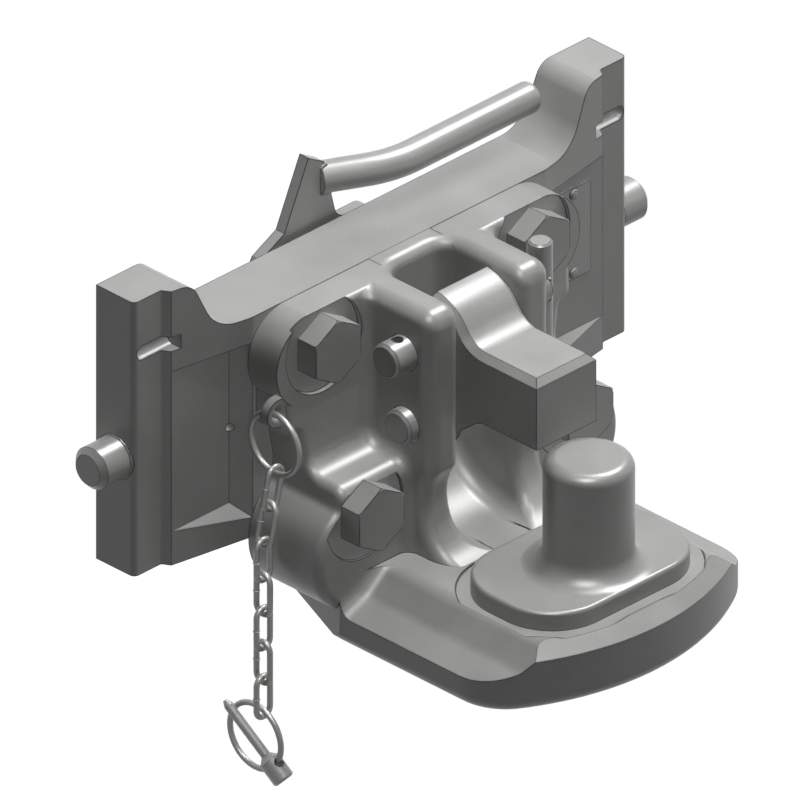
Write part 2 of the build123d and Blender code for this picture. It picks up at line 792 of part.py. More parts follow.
def casting_blocks():
    """The casting in four blocks: the foot below the plate, the web behind the slot, and both sides."""
    body = hook_casting()
    bottom = level(-2 * hook_bottom_drop)
    yield "hook_foot", body & slab(-plate_width, plate_width, bottom, level(0))
    yield "slot_web", body & slab(-slot_half, slot_half, level(0), half_height)
    yield "left_cheek", body & slab(-plate_width, -slot_half, level(0), half_height)
    yield "right_cheek", body & slab(slot_half, plate_width, level(0), half_height)


def nut_recess_height():
    """Height of the flat in the hook plate against which the towing pin's nut pulls."""
    return nut_recess_depth - hook_bottom_drop


def pad_outline(margin):
    """Outline of the pad, widened all round by the margin."""
    middle = (pad_rear_forward + pad_front_forward) / 2
    length = pad_front_forward - pad_rear_forward
    return Pos(0, middle) * RectangleRounded(
        2 * (pad_half + margin), length + 2 * margin, pad_corner_radius + margin
    )


def hitch_pin():
    """Towing pin with the pad it stands on and the threaded shank below."""
    thickness = plateau_drop - pad_top_drop + pad_seat_depth
    top = Plane(origin=(0, 0, level(-pad_top_drop)), x_dir=(1, 0, 0), z_dir=(0, 0, -1))
    pad = extrude(top * pad_outline(0), amount=thickness)
    pad = fillet(pad.edges().group_by(Axis.Z)[-1], 2)
    foot = at(0, hitch_forward, -pad_top_drop)
    pin = round_bar(foot, at(0, hitch_forward, hitch_pin_top), hitch_pin_radius)
    pin = fillet(pin.edges().group_by(Axis.Z)[-1], hitch_top_radius)
    body = pad + pin
    root = [e for e in body.edges().filter_by(GeomType.CIRCLE)
            if abs(e.radius - hitch_pin_radius) < 0.01 and abs(e.center().Z - foot[2]) < 0.01]
    body = fillet(root, hitch_foot_radius)
    length = -plateau_drop - nut_recess_height()
    thread = length + hitch_washer_thickness + hitch_nut_height
    profile = [(0, -0.5), (shank_radius, -0.5), (shank_radius, length - 3), (thread_radius, length - 1)]
    profile += [(thread_radius, thread), (thread_radius - 1, thread + 1), (0, thread + 1)]
    return body + turned(profile, at(0, hitch_forward, -plateau_drop), (0, 0, -1))


def hitch_washer():
    ring = [(thread_radius + fit, 0), (hitch_washer_radius, 0), (hitch_washer_radius, hitch_washer_thickness)]
    ring += [(thread_radius + fit, hitch_washer_thickness)]
    return turned(ring, at(0, hitch_forward, nut_recess_height()), (0, 0, -1))


def hitch_nut():
    start = Vector(*at(0, hitch_forward, nut_recess_height() - hitch_washer_thickness))
    end = start - Vector(0, 0, hitch_nut_height)
    return hex_prism(hitch_nut_flats, start, (0, 0, -1), hitch_nut_height) - round_bar(start, end, thread_radius)


def hold_down():
    """Nose over the hitch pin, with a round head and an eye that take the fork's pins."""
    head = Vector(head_forward, level(head_height))
    flat = level(nose_top)
    gap = head_radius + neck_radius
    rise = flat + neck_radius - head.Y
    neck = Vector(head.X + sqrt(gap ** 2 - rise ** 2), flat + neck_radius)
    touch = head + (neck - head).normalized() * head_radius
    head_start = head + Vector(0, head_radius).rotate(Axis.Z, -7)
    head_middle = head + Vector(0, head_radius).rotate(Axis.Z, -30)
    neck_middle = neck + Vector(0, -neck_radius).rotate(Axis.Z, -30)
    eye = Vector(lower_pin_forward, level(lower_pin_height))
    eye_front = eye + Vector(eye_radius, 0).rotate(Axis.Z, -30)
    eye_low = eye + Vector(0, -eye_radius)
    eye_rear = eye + Vector(-eye_radius, 0)
    nose_root = (nose_root_forward, level(nose_bottom))
    edges = [
        ThreePointArc(head_start, head_middle, touch),
        ThreePointArc(touch, neck_middle, (neck.X, flat)),
        Polyline((neck.X, flat), (nose_forward, flat), (nose_forward, level(nose_bottom)),
                 nose_root, (nose_root_forward - nose_web_run, level(nose_bottom - nose_web_drop)), eye_front),
        ThreePointArc(eye_front, eye_low, eye_rear),
        Polyline(eye_rear, (eye_rear.X - 3, level(head_height - 4)), head_start),
    ]
    section = make_face(edges)
    section = rounded(section, nose_root, nose_web_run * 0.9)
    body = extrude(SIDE * section, amount=hold_down_half, both=True)
    top = [e for e in body.edges() if abs(e.center().Z - flat) < 0.1 and e.center().Y < -neck.X - 1]
    body = chamfer(top, nose_chamfer)
    for forward, height in ((upper_pin_forward, upper_pin_height), (lower_pin_forward, lower_pin_height)):
        ends = at(-hold_down_half - 1, forward, height), at(hold_down_half + 1, forward, height)
        body -= round_bar(*ends, fork_bore_radius)
    return body


def fork_bar():
    """Upright grip bar that joins the two pins of the locking fork."""
    bar = round_bar(
        at(fork_bar_x, fork_bar_forward, fork_bar_bottom), at(fork_bar_x, fork_bar_forward, fork_bar_top),
        fork_bar_radius,
    )
    return chamfer(bar.edges().filter_by(GeomType.CIRCLE), 1)


def fork_pin(left, forward, height):
    """Pin of the locking fork, coped to the grip bar at its right end."""
    length = fork_bar_x - left
    chamfer_size = 1.5
    profile = [(0, 0), (fork_pin_radius - chamfer_size, 0), (fork_pin_radius, chamfer_size)]
    profile += [(fork_pin_radius, length), (0, length)]
    return turned(profile, at(left, forward, height), (1, 0, 0)) - fork_bar()


def upper_fork_pin():
    hole = round_bar(
        at(linch_hole_x, upper_pin_forward, upper_pin_height - 2 * fork_pin_radius),
        at(linch_hole_x, upper_pin_forward, upper_pin_height + 2 * fork_pin_radius),
        linch_hole_radius,
    )
    return fork_pin(upper_pin_left, upper_pin_forward, upper_pin_height) - hole


def lower_fork_pin():
    return fork_pin(lower_pin_left, lower_pin_forward, lower_pin_height)


def name_plate():
    z = name_plate_height
    size = name_plate_width, name_plate_length
    outline = Pos(name_plate_x, level(z)) * RectangleRounded(*size, name_plate_corner_radius)
    plate = Pos(0, -step_forward, 0) * extrude(FRONT * outline, amount=name_plate_thickness)
    for x, y, z in rivet_places():
        plate -= round_bar((x, y + 1, z), (x, y - 2, z), rivet_radius)
    return plate


def name_plate_rivets():
    rivets = []
    for x, y, z in rivet_places():
        head = 2 * rivet_radius
        crown = name_plate_thickness + rivet_head_height
        profile = [(0, -rivet_depth), (rivet_radius, -rivet_depth), (rivet_radius, name_plate_thickness)]
        profile += [(head, name_plate_thickness), (head * 0.7, crown - rivet_head_height / 4), (0, crown)]
        rivets.append(turned(profile, (x, y, z), (0, -1, 0)).solid())
    return Compound(rivets)


def lug_bar_height():
    """Height of the middle of the lug's bar under its hole, where the ring turns."""
    return lug_height - (lug_hole_radius + lug_radius) / 2


def hang():
    """Distance between the centres of two wires that hang one in the other."""
    return 2 * chain_wire + hang_gap


def chain_ring():
    """Ring that hangs in the lug."""
    top = lug_height - lug_hole_radius + hang_gap + chain_wire
    center = at(-lug_half_x, lug_forward, top - ring_radius)
    return Pos(*center) * Rot(0, 90, 0) * Torus(ring_radius, chain_wire)


def chain_lean():
    """Angle at which the first links lean out to pass beside the lobe, in degrees."""
    return asin((chain_x - lug_half_x) / (leaning_links * link_pitch)) * 180 / pi


def chain_pivot(index):
    """Centre of the lowest wire of a link; index 0 is the ring."""
    top = lug_height - lug_hole_radius + hang_gap + chain_wire
    start = Vector(*at(-lug_half_x, lug_forward, top - 2 * ring_radius))
    leaning = Vector(0, 0, -link_pitch).rotate(Axis.Y, chain_lean())
    upright = Vector(0, 0, -link_pitch)
    return start + leaning * min(index, leaning_links) + upright * max(index - leaning_links, 0)


def chain_link(index):
    """Long link with straight sides and round ends, a quarter turn from the link above it."""
    half_length = (link_pitch + hang()) / 2
    half = half_length - link_half_width
    sides = [
        Line((-link_half_width, -half), (-link_half_width, half)),
        ThreePointArc((-link_half_width, half), (0, half_length), (link_half_width, half)),
        Line((link_half_width, half), (link_half_width, -half)),
        ThreePointArc((link_half_width, -half), (0, -half_length), (-link_half_width, -half)),
    ]
    path = Wire(sides)
    link = sweep(Plane(origin=(-link_half_width, 0, 0), z_dir=(0, 1, 0)) * Circle(chain_wire), path=path)
    quarter = 90 * (1 - index % 2)
    tilt = chain_lean() if index <= leaning_links else 0
    above = chain_pivot(index - 1)
    center = above + Vector(0, 0, hang() - half_length).rotate(Axis.Y, tilt)
    return Pos(*center) * Rot(0, tilt, 0) * Rot(0, 0, quarter) * Rot(90, 0, 0) * link


def linch_ring_center():
    """The ring leans back a little, where it and its pin hang in balance."""
    down = Vector(0, 0, hang() - linch_ring_radius).rotate(Axis.X, linch_ring_lean)
    return chain_pivot(link_count) + down


def linch_ring():
    return Pos(*linch_ring_center()) * Rot(0, 90, 0) * Torus(linch_ring_radius, chain_wire)


def linch_pin():
    """Snap pin on its ring: drilled head, and a shank that lies beside the ring's far side."""
    outward = Vector(0, -1, 0).rotate(Axis.X, linch_head_angle)
    along_ring = Vector(0, 0, 1).rotate(Axis.X, linch_head_angle)
    beside = (linch_shank_radius + chain_wire + hang_gap) / (2 * linch_ring_radius)
    inward = Vector(-beside, 0, 0) - outward * sqrt(1 - beside ** 2)
    hole = linch_ring_center() + outward * linch_ring_radius
    neck = linch_head_under + linch_head_radius - linch_shank_radius
    profile = [
        (0, -linch_head_over), (linch_head_radius - 1, -linch_head_over), (linch_head_radius, 1 - linch_head_over),
        (linch_head_radius, linch_head_under), (linch_shank_radius, neck),
        (linch_shank_radius, linch_shank_length - 3), (1, linch_shank_length), (0, linch_shank_length),
    ]
    pin = turned(profile, hole, inward)
    reach = along_ring * (linch_head_radius + 1)
    return pin - round_bar(hole - reach, hole + reach, linch_hole)


def nodes():
    """Every node's name with its solid."""
    yield "slide_plate", slide_plate()
    yield "name_plate", name_plate()
    yield "name_plate_rivets", name_plate_rivets()
    yield from casting_blocks()
    yield "ring_lug", ring_lug()
    yield "upper_mounting_bolts", mounting_bolts("upper")
    yield "lower_mounting_bolts", mounting_bolts("lower")
    yield "hitch_pin", hitch_pin()
    yield "hitch_washer", hitch_washer()
    yield "hitch_nut", hitch_nut()
    yield "hold_down", hold_down()
    yield "upper_fork_pin", upper_fork_pin()
    yield "lower_fork_pin", lower_fork_pin()
    yield "fork_bar", fork_bar()
    for side, name in ((-1, "left"), (1, "right")):
        yield name + "_side_pin", side_pin(side)
        yield name + "_cam_stud", cam_stud(side)
        yield name + "_pin_spring", pin_spring(side)
    yield "cam_lever", cam_lever()
    yield "handle_rod", handle_rod()
    yield "lever_spacer", lever_spacer()
    yield "lever_washer", lever_washer()
    yield "lever_pivot_bolt", lever_pivot_bolt()
    yield "chain_ring", chain_ring()
    for index in range(1, link_count + 1):
        yield "chain_link_" + str(index), chain_link(index)
    yield "linch_ring", linch_ring()
    yield "linch_pin", linch_pin()


os.makedirs("parts", exist_ok=True)
for node_name, solid in nodes():
    export_step(solid, "parts/" + node_name + ".step")
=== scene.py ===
# %% [markdown]
# # A pintle hook, dressed for its portrait
# The CAD part is already built and packed: every pin, bolt and link has its true place and can move.
# This notebook only gives it looks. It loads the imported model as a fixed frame, gives each steel piece
# a finish, adds the small things that nobody puts in solids, such as weld beads, and sets up a studio.

import json
from math import cos, pi, radians, sin

import bpy
import numpy as np
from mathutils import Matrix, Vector


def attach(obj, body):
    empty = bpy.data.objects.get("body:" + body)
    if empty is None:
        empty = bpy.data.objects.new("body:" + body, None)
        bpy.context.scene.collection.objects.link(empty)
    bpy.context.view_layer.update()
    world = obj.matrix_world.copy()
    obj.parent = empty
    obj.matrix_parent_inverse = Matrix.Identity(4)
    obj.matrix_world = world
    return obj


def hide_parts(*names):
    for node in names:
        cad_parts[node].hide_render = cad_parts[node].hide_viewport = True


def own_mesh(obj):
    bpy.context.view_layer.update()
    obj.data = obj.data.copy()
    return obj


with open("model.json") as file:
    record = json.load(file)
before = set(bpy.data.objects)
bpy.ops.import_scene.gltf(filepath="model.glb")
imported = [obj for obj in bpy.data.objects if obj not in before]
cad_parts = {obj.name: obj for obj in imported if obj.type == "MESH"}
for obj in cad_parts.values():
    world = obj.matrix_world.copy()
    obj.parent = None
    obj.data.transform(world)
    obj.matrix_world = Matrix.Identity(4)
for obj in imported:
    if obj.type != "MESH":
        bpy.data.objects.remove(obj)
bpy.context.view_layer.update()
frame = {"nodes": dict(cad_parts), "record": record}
nodes = frame["nodes"]
slot_of = {part["node"]: part["material_slot"] for part in frame["record"]["subparts"]}
body_of = {}
for body, members in frame["record"]["behaviour"]["bodies"].items():
    body_of.update({node: body for node in members})
print("nodes:", len(nodes), "bodies:", len(set(body_of.values())))

# %% [markdown]
# ## The camera
# The picture to match is drawn without perspective, so the camera is orthographic. It looks from the
# front left corner, 30 degrees down. An orthographic camera has no lens to choose, only the width of the
# strip that it sees, so the scale of the drawing gives `ortho_scale` at once.

# %% Camera
view_width = 0.3788
view_target = Vector((-0.02144, -0.060, -0.02254))
view_azimuth = radians(-45.0)
view_elevation = radians(30.16)
view_distance = 2.0

camera = bpy.data.objects.new("camera", bpy.data.cameras.new("camera"))
camera.data.type = "ORTHO"
camera.data.ortho_scale = view_width
toward_camera = Vector((
    sin(view_azimuth) * cos(view_elevation),
    -cos(view_azimuth) * cos(view_elevation),
    sin(view_elevation),
))
camera.location = view_target + toward_camera * view_distance
camera.rotation_mode = "QUATERNION"
camera.rotation_quaternion = (-toward_camera).to_track_quat("-Z", "Y")
bpy.context.scene.collection.objects.link(camera)
bpy.context.scene.camera = camera
print("camera at", [round(value, 3) for value in camera.location])

# %% [markdown]
# ## The lamps
# A drawing office picture of steel has bright tops, mid grey fronts and darker left sides, as under one
# broad lamp overhead, a little to the right. Part of its light casts shadows and the rest does not, so
# the slot stays readable under the hold-down. The glints on the roundings mirror two more lamps. These are
# hidden from rough reflection, so unlike lamps in a real studio they draw glints and throw no light. A weak
# lamp behind shows the lever and its slots to someone who walks round.

# %% Lamps
lamp_distance = 1.4
overhead_side = (0.285, -0.107, 0.952)
right_strip_side = (0.51, 0.0, 0.85)
left_strip_side = (-0.354, -0.354, 0.863)
rear_side = (0.0, 0.9, 0.35)
lamps = {
    "overhead": {"toward": overhead_side, "size": 0.7, "power": 5.0},
    "overhead_fill": {"toward": overhead_side, "size": 0.7, "power": 14.8, "shadow": False},
    "rear_fill": {"toward": rear_side, "size": 0.9, "power": 6.0, "glints": False},
    "right_strip": {
        "toward": right_strip_side, "size": 0.45, "power": 33.0, "shadow": False, "spread": False,
    },
    "left_strip": {
        "toward": left_strip_side, "size": 0.6, "power": 22.0, "shadow": False, "spread": False,
    },
}


def add_lamp(name, toward, size, power, shadow=True, glints=True, spread=True):
    """Square area lamp at a given side of the object, pointing at it. Spread is its rough reflection."""
    light = bpy.data.lights.new(name, "AREA")
    light.size = size
    light.energy = power
    light.use_shadow = shadow
    lamp = bpy.data.objects.new(name, light)
    lamp.location = view_target + Vector(toward).normalized() * lamp_distance
    lamp.rotation_mode = "QUATERNION"
    lamp.rotation_quaternion = (-Vector(toward)).to_track_quat("-Z", "Y")
    lamp.visible_diffuse = spread
    lamp.visible_glossy = glints
    bpy.context.scene.collection.objects.link(lamp)


for name, lamp in lamps.items():
    add_lamp(name, **lamp)
print("lamps:", list(lamps))

# %% [markdown]
# ## A white room that throws little light
# The background should be white without flooding the steel with light. The Light Path node tells apart a
# ray that the eye follows, directly or by way of gloss or glass, from a ray that only carries light. The
# world and the floor are white for the first kind and dim for the second. The floor still receives the
# lamp's light, so the object keeps its shadow on it.

# %% World and floor
world_glow = 0.05
floor_height = -0.36
floor_half = 6.0
floor_color = 0.14
floor_roughness = 0.9
floor_whiteness = 0.92
white = (1, 1, 1, 1)


def seen_directly(tree):
    """1 for rays from the eye, also by way of metal or glass, and 0 for rays that carry light."""
    path = tree.nodes.new("ShaderNodeLightPath")
    total = path.outputs["Is Camera Ray"]
    for ray in ("Is Glossy Ray", "Is Transmission Ray"):
        highest = tree.nodes.new("ShaderNodeMath")
        highest.operation = "MAXIMUM"
        tree.links.new(total, highest.inputs[0])
        tree.links.new(path.outputs[ray], highest.inputs[1])
        total = highest.outputs[0]
    return total


def strength_for_the_eye(tree, dim, bright):
    """Strength that is bright for the eye and dim for light."""
    mix = tree.nodes.new("ShaderNodeMapRange")
    tree.links.new(seen_directly(tree), mix.inputs["Value"])
    mix.inputs["To Min"].default_value = dim
    mix.inputs["To Max"].default_value = bright
    return mix.outputs["Result"]


world = bpy.data.worlds.new("studio")
world.use_nodes = True
glow = world.node_tree.nodes["Background"]
glow.inputs["Color"].default_value = white
world_strength = strength_for_the_eye(world.node_tree, world_glow, 1)
world.node_tree.links.new(world_strength, glow.inputs["Strength"])
bpy.context.scene.world = world
bpy.context.scene.view_settings.view_transform = "Standard"

floor_mesh = bpy.data.meshes.new("floor")
floor_signs = [(-1, -1), (1, -1), (1, 1), (-1, 1)]
floor_corners = [(x * floor_half, y * floor_half, floor_height) for x, y in floor_signs]
floor_mesh.from_pydata(floor_corners, [], [(0, 1, 2, 3)])
floor = bpy.data.objects.new("floor", floor_mesh)
bpy.context.scene.collection.objects.link(floor)
floor_paint = bpy.data.materials.new("floor_paint")
floor_paint.use_nodes = True
floor_shader = floor_paint.node_tree.nodes["Principled BSDF"]
floor_shader.inputs["Base Color"].default_value = (floor_color, floor_color, floor_color, 1)
floor_shader.inputs["Roughness"].default_value = floor_roughness
floor_shader.inputs["Specular IOR Level"].default_value = 0
floor_shader.inputs["Emission Color"].default_value = white
floor_glow = strength_for_the_eye(floor_paint.node_tree, 0, floor_whiteness)
floor_paint.node_tree.links.new(floor_glow, floor_shader.inputs["Emission Strength"])
floor_mesh.materials.append(floor_paint)
print("floor at", floor_height)

# %% [markdown]
# ## Steel finishes
# The picture draws every piece in one satin grey, but they are not all made the same way. A casting has
# a grain and cloudy patches, rolled plate is smoother, a turned pin smoother still, and wire is brighter.
# One function builds them all from a few numbers: noise in Object coordinates drives colour, roughness
# and a fine bump. The Bevel node says how far the surface turns within a given distance, so
# where it turns sharply the colour is darker: painted shade in corners and a painted dark line along edges.

# %% A steel material from a few numbers
# These numbers set the painted shade along edges and in corners: where it starts, how dark, how many
# samples.
edge_turn_full = 0.955
edge_turn_none = 0.998
painted_edge_darkness = 0.14
edge_samples = 8
patch_size_mm = 32
patch_detail = 3
grain_detail = 4
grain_share = 0.03
dullness_spread = 0.03
noise_middle = (0.35, 0.65)
bump_strength = 0.5


def add_math(tree, operation, first, second):
    """Math node on two sockets."""
    node = tree.nodes.new("ShaderNodeMath")
    node.operation = operation
    tree.links.new(first, node.inputs[0])
    tree.links.new(second, node.inputs[1])
    return node.outputs[0]


def add_noise(tree, place, size_mm, detail, label):
    """Noise whose features are about size_mm across."""
    node = tree.nodes.new("ShaderNodeTexNoise")
    node.label = label
    node.inputs["Scale"].default_value = 1000 / size_mm
    node.inputs["Detail"].default_value = detail
    tree.links.new(place, node.inputs["Vector"])
    return node.outputs["Fac"]


def add_range(tree, value, source, target, label):
    """Carries a value from one range to another, and holds it there."""
    node = tree.nodes.new("ShaderNodeMapRange")
    node.label = label
    node.inputs["From Min"].default_value, node.inputs["From Max"].default_value = source
    node.inputs["To Min"].default_value, node.inputs["To Max"].default_value = target
    tree.links.new(value, node.inputs["Value"])
    return node.outputs["Result"]


def painted_edge_shade(tree, reach_mm):
    """1 on plain surface, and painted shade within reach of an edge or a corner."""
    bevel = tree.nodes.new("ShaderNodeBevel")
    bevel.samples = edge_samples
    bevel.inputs["Radius"].default_value = reach_mm / 1000
    plain = tree.nodes.new("ShaderNodeNewGeometry")
    facing = tree.nodes.new("ShaderNodeVectorMath")
    facing.operation = "DOT_PRODUCT"
    tree.links.new(bevel.outputs["Normal"], facing.inputs[0])
    tree.links.new(plain.outputs["Normal"], facing.inputs[1])
    turn = (edge_turn_full, edge_turn_none)
    return add_range(tree, facing.outputs["Value"], turn, (painted_edge_darkness, 1.0), "edge shade")


def make_steel(name, color, metallic, roughness, gloss, grain_mm, depth_mm, cloud=0.06, painted_edge_mm=1.0):
    """Procedural steel. Lengths are in millimetres, and cloud is the share by which the colour varies."""
    material = bpy.data.materials.new(name)
    material.use_nodes = True
    tree = material.node_tree
    shader = tree.nodes["Principled BSDF"]
    place = tree.nodes.new("ShaderNodeTexCoord").outputs["Object"]

    grain = add_noise(tree, place, grain_mm, grain_detail, "grain")
    patches = add_noise(tree, place, patch_size_mm, patch_detail, "patches")
    shade = add_math(
        tree, "MULTIPLY",
        add_range(tree, patches, noise_middle, (1 - cloud, 1 + cloud), "patch shade"),
        add_range(tree, grain, noise_middle, (1 - grain_share, 1 + grain_share), "grain shade"),
    )
    # Painted shade: the colour darkens along edges and in corners.
    shade = add_math(tree, "MULTIPLY", shade, painted_edge_shade(tree, painted_edge_mm))
    tint = tree.nodes.new("ShaderNodeVectorMath")
    tint.operation = "SCALE"
    tint.inputs[0].default_value = color
    tree.links.new(shade, tint.inputs["Scale"])
    tree.links.new(tint.outputs["Vector"], shader.inputs["Base Color"])
    shader.inputs["Metallic"].default_value = metallic
    shader.inputs["Specular IOR Level"].default_value = gloss
    dullness = (roughness - dullness_spread, roughness + dullness_spread)
    dullness = add_range(tree, patches, noise_middle, dullness, "patch dullness")
    tree.links.new(dullness, shader.inputs["Roughness"])

    bump = tree.nodes.new("ShaderNodeBump")
    bump.inputs["Strength"].default_value = bump_strength
    bump.inputs["Distance"].default_value = depth_mm / 1000
    tree.links.new(grain, bump.inputs["Height"])
    tree.links.new(bump.outputs["Normal"], shader.inputs["Normal"])
    return material


cast_grey = (0.405, 0.402, 0.396)
finishes = {
    "cast_steel": make_steel("cast_steel", cast_grey, 0.05, 0.40, 0.30, 1.1, 0.030),
    "plate_steel": make_steel("plate_steel", cast_grey, 0.05, 0.42, 0.28, 0.9, 0.015, cloud=0.04),
    "pin_steel": make_steel("pin_steel", cast_grey, 0.08, 0.36, 0.34, 0.6, 0.006, cloud=0.03),
    "bolt_steel": make_steel("bolt_steel", cast_grey, 0.06, 0.40, 0.30, 0.6, 0.010, cloud=0.04),
    "zinc_wire": make_steel("zinc_wire", (0.43, 0.427, 0.42), 0.2, 0.34, 0.4, 0.5, 0.005, painted_edge_mm=0.25),
    "spring_steel": make_steel("spring_steel", cast_grey, 0.15, 0.36, 0.34, 0.5, 0.004, painted_edge_mm=0.3),
    "label_aluminium": make_steel("label_aluminium", cast_grey, 0.1, 0.40, 0.30, 0.4, 0.003, cloud=0.02),
}
print("finishes:", list(finishes))

# %% [markdown]
# ## One finish and one body for every piece
# A piece is dressed in three steps: it gets a finish, it is told which body it rides on, so that it moves
# with the lever or the chain, and it names the CAD nodes that it hides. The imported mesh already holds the
# exact normals of the CAD surfaces, so a plain copy of it shades better than anything worked out anew.

# %% Dress the pieces
def dress(piece, slot, body, *replaced):
    """Gives a piece its finish and the body that it moves with."""
    piece.data.materials.clear()
    piece.data.materials.append(finishes[slot])
    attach(piece, body)
    if replaced:
        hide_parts(*replaced)


def add_piece(name, mesh):
    """Object at the origin, with its place in its mesh."""
    piece = bpy.data.objects.new(name, mesh)
    bpy.context.scene.collection.objects.link(piece)
    return piece


casting_nodes = ("hook_foot", "slot_web", "left_cheek", "right_cheek")
for name in sorted(nodes):
    if name not in casting_nodes:
        piece = add_piece(name + "_steel", nodes[name].data.copy())
        dress(piece, slot_of[name], body_of[name], name)
print("dressed:", len(nodes) - len(casting_nodes))

# %% [markdown]
# ## The springs of the locking pins
# Each locking pin is pushed out by a compression spring round its shank, between the step of its bore and
# the pin's collar. This cell gives each spring a mesh of its own and prints its size.

# %% Springs
spring_seats = {"left_pin": (-0.075, -0.0128, -0.014), "right_pin": (0.075, -0.0128, -0.014)}
for pin, seat in spring_seats.items():
    spring = bpy.data.objects[pin + "_spring_steel"]
    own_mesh(spring)
    print(pin, "spring:", [round(side * 1000, 1) for side in spring.dimensions], "mm")

# %% [markdown]
# ## The hook casting in one skin
# The casting is one lump of steel, but the solids give it in four blocks, so that collision leaves its
# slot open. Flat caps remain where the blocks meet. The painted edge shade would find them from inside and
# draw a dark line along each joint, so this cell copies the triangles of all four, leaves out the caps, and
# sets the normals of the kept corners as they were. The caps lie on the hook plate's top and on the sides
# of the slot, behind its rear wall and under the round sweep at its foot.

# %% Casting skin
cap_height = -0.075
slot_side = 0.0205
sweep_center = (0.0945, 0.0355)
sweep_reach = 0.0396
slot_rear = 0.0549
flat = 1e-6


def corners_and_normals(name):
    """Positions and normals of every triangle's three corners."""
    mesh = nodes[name].data
    points = np.empty(len(mesh.vertices) * 3, np.float32)
    mesh.vertices.foreach_get("co", points)
    order = np.empty(len(mesh.loops), np.int32)
    mesh.loops.foreach_get("vertex_index", order)
    normals = np.empty(len(mesh.loops) * 3, np.float32)
    mesh.corner_normals.foreach_get("vector", normals)
    return points.reshape(-1, 3)[order].reshape(-1, 3, 3), normals.reshape(-1, 3, 3)


def is_cap(name, corners):
    """True for triangles that lie where two blocks of the casting meet."""
    across, forward = np.abs(corners[:, :, 0]), -corners[:, :, 1]
    height = corners[:, :, 2] - cap_height
    cap = np.all(np.abs(height) < flat, axis=1)
    if name == "hook_foot":
        return cap
    on_side = np.all(np.abs(across - slot_side) < flat, axis=1)
    if name == "slot_web":
        return cap | on_side
    away = np.hypot(forward - sweep_center[0], height - sweep_center[1])
    above = height >= sweep_center[1]
    behind = np.where(above, forward < slot_rear, (away > sweep_reach) & (forward < sweep_center[0]))
    return cap | (on_side & np.all(behind, axis=1))


def casting_skin():
    """Mesh of the four blocks without the caps between them."""
    kept_corners, kept_normals = [], []
    for name in casting_nodes:
        corners, normals = corners_and_normals(name)
        outside = ~is_cap(name, corners)
        kept_corners.append(corners[outside])
        kept_normals.append(normals[outside])
    points = np.concatenate(kept_corners).reshape(-1, 3)
    faces = np.arange(len(points)).reshape(-1, 3)
    mesh = bpy.data.meshes.new("hook_casting")
    mesh.from_pydata(points.tolist(), [], faces.tolist())
    mesh.shade_smooth()
    mesh.normals_split_custom_set(np.concatenate(kept_normals).reshape(-1, 3).tolist())
    return mesh


casting = add_piece("hook_casting", casting_skin())
dress(casting, "cast_steel", body_of["hook_foot"], *casting_nodes)
print("casting triangles:", len(casting.data.polygons))

# %% [markdown]
# ## Weld beads
# A weld is a row of small frozen pools that overlap like coins. That is a shape on a path, so Geometry
# Nodes make it: the path becomes a curve, the curve gets a point every ripple, each point gets a squashed
# ball, and a thin round core joins them. The random size of each ball has a fixed seed, so the weld comes
# out the same every time. A modifier's inputs are reached by the socket's identifier.

# %% The tree for a weld bead
bead_seed = 3
ball_segments = 14
ball_rings = 9
ball_smallest, ball_largest = 0.88, 1.08
core_share = 0.82
core_sides = 12


def new_tree_input(tree, name, kind, value):
    """Named input of a node tree; returns its identifier."""
    socket = tree.interface.new_socket(name=name, in_out="INPUT", socket_type=kind)
    if value is not None:
        socket.default_value = value
    return socket.identifier


